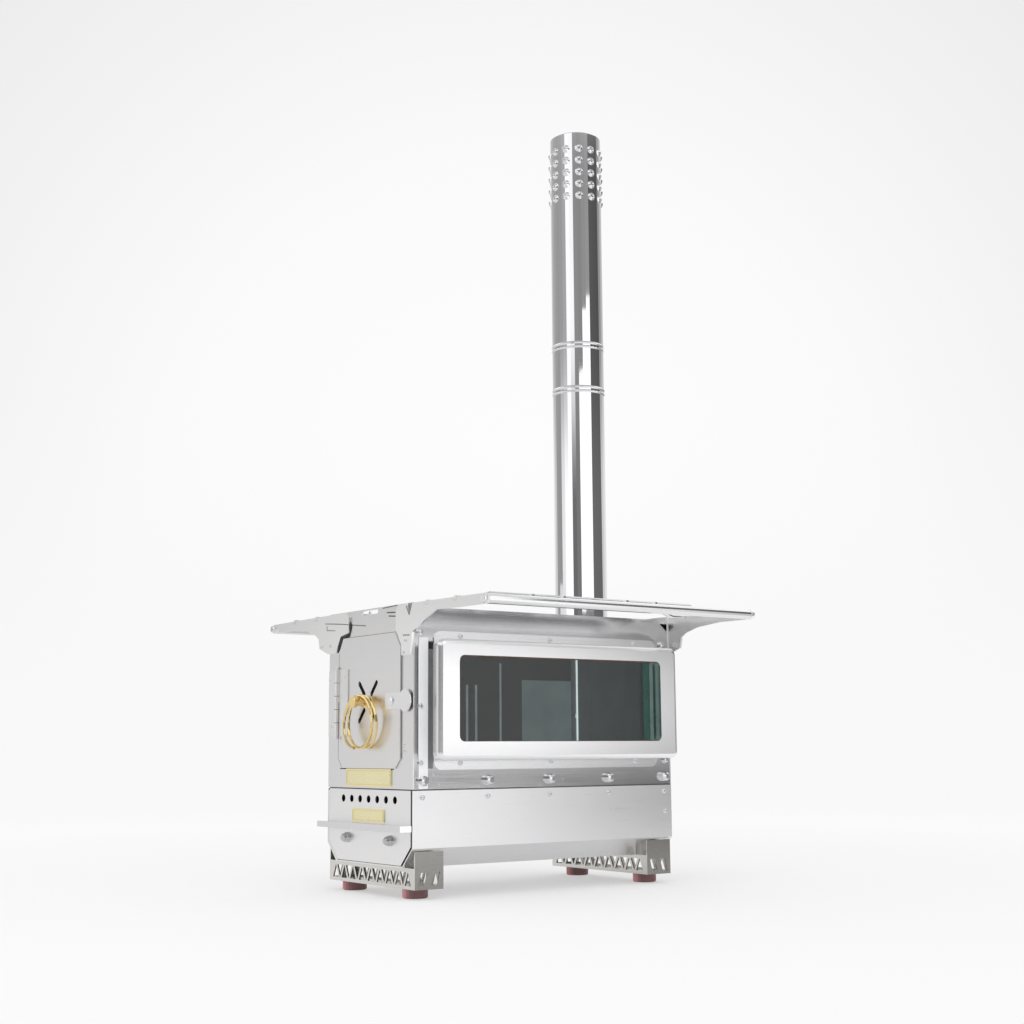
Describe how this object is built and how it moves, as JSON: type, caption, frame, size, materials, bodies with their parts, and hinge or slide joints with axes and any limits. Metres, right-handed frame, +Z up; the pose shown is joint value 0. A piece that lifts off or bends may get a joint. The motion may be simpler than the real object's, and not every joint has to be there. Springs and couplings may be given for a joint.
{
  "type": "tent wood stove",
  "caption": "Portable steel tent stove with long side windows, side racks, ash drawer, latched door and a sectioned flue.",
  "frame": {"origin": "middle of the bounding box, at floor level", "axes": "+Z up; the door faces -Y; the long side windows face +X and -X"},
  "size_m": [0.442, 0.3608, 0.868],
  "materials": {
    "satin_steel": "satin stainless steel",
    "polished_steel": "bright rolled stainless steel",
    "mirror_steel": "mirror polished stainless steel",
    "sheet_steel": "warm grey brushed stainless steel",
    "dark_steel": "heat-darkened steel",
    "brass": "polished brass",
    "red_pad": "matt red-brown pad",
    "window_glass": "dark clear ceramic glass"
  },
  "bodies": {
    "casing": {"lower_shell": "satin_steel", "hearth_plate": "dark_steel", "front_plate": "satin_steel", "rear_plate": "satin_steel", "right_side_panel": "polished_steel", "left_side_panel": "polished_steel", "top_plate": "satin_steel", "flue_collar": "sheet_steel", "smoke_baffle": "dark_steel", "name_plate": "brass", "right_window_tray": "polished_steel", "left_window_tray": "polished_steel", "right_window_glass": "window_glass", "left_window_glass": "window_glass", "right_window_bezel": "satin_steel", "left_window_bezel": "satin_steel", "right_front_wing": "sheet_steel", "left_front_wing": "sheet_steel", "right_rear_wing": "sheet_steel", "left_rear_wing": "sheet_steel", "right_rack_rod": "mirror_steel", "left_rack_rod": "mirror_steel", "front_leg": "sheet_steel", "rear_leg": "sheet_steel", "right_front_foot": "red_pad", "left_front_foot": "red_pad", "right_rear_foot": "red_pad", "left_rear_foot": "red_pad", "hinge_frame_leaf": "satin_steel", "hinge_pin": "mirror_steel", "right_cap_bolt_1": "mirror_steel", "left_cap_bolt_1": "mirror_steel", "right_cap_bolt_2": "mirror_steel", "left_cap_bolt_2": "mirror_steel", "right_cap_bolt_3": "mirror_steel", "left_cap_bolt_3": "mirror_steel", "right_cap_bolt_4": "mirror_steel", "left_cap_bolt_4": "mirror_steel", "right_cap_bolt_5": "mirror_steel", "left_cap_bolt_5": "mirror_steel"},
    "door": {"door_panel": "satin_steel", "hinge_door_leaf": "satin_steel", "latch_pivot": "mirror_steel"},
    "damper": {"damper_plate": "dark_steel", "damper_knob": "brass"},
    "ring": {"ring_handle": "brass"},
    "latch": {"latch_lever": "satin_steel"},
    "drawer": {"drawer_front": "satin_steel", "drawer_tray": "sheet_steel", "drawer_back": "sheet_steel", "drawer_pull": "satin_steel", "drawer_badge": "brass", "right_drawer_bolt": "mirror_steel", "left_drawer_bolt": "mirror_steel"},
    "flue_lower": {"flue_pipe_lower": "mirror_steel"},
    "flue_middle": {"flue_pipe_middle": "mirror_steel"},
    "flue_head": {"spark_arrestor": "mirror_steel"},
    "right_rack": {"right_rack_grate": "mirror_steel"},
    "left_rack": {"left_rack_grate": "mirror_steel"}
  },
  "joints": [
    {"name": "door_hinge", "type": "hinge", "parent": "casing", "child": "door", "pos_m": [-0.062, -0.1631, 0.194], "axis": [0, 0, -1], "range_deg": [0, 115]},
    {"name": "air_damper", "type": "hinge", "parent": "door", "child": "damper", "pos_m": [0, -0.1594, 0.1935], "axis": [0, 1, 0], "range_deg": [0, 45]},
    {"name": "ring_swing", "type": "hinge", "parent": "door", "child": "ring", "pos_m": [0, -0.1682, 0.1996], "axis": [-1, 0, 0], "range_deg": [0, 60]},
    {"name": "latch_turn", "type": "hinge", "parent": "door", "child": "latch", "pos_m": [0.05, -0.16225, 0.193], "axis": [0, -1, 0], "range_deg": [0, 90]},
    {"name": "ash_drawer", "type": "slide", "parent": "casing", "child": "drawer", "axis": [0, -1, 0], "range_m": [0, 0.27]},
    {"name": "flue_lower_lift", "type": "slide", "parent": "casing", "child": "flue_lower", "axis": [0, 0, 1], "range_m": [0, 0.03]},
    {"name": "flue_middle_lift", "type": "slide", "parent": "flue_lower", "child": "flue_middle", "axis": [0, 0, 1], "range_m": [0, 0.03]},
    {"name": "flue_head_lift", "type": "slide", "parent": "flue_middle", "child": "flue_head", "axis": [0, 0, 1], "range_m": [0, 0.03]},
    {"name": "right_rack_lift", "type": "slide", "parent": "casing", "child": "right_rack", "axis": [0, 0, 1], "range_m": [0, 0.03]},
    {"name": "left_rack_lift", "type": "slide", "parent": "casing", "child": "left_rack", "axis": [0, 0, 1], "range_m": [0, 0.03]}
  ]
}
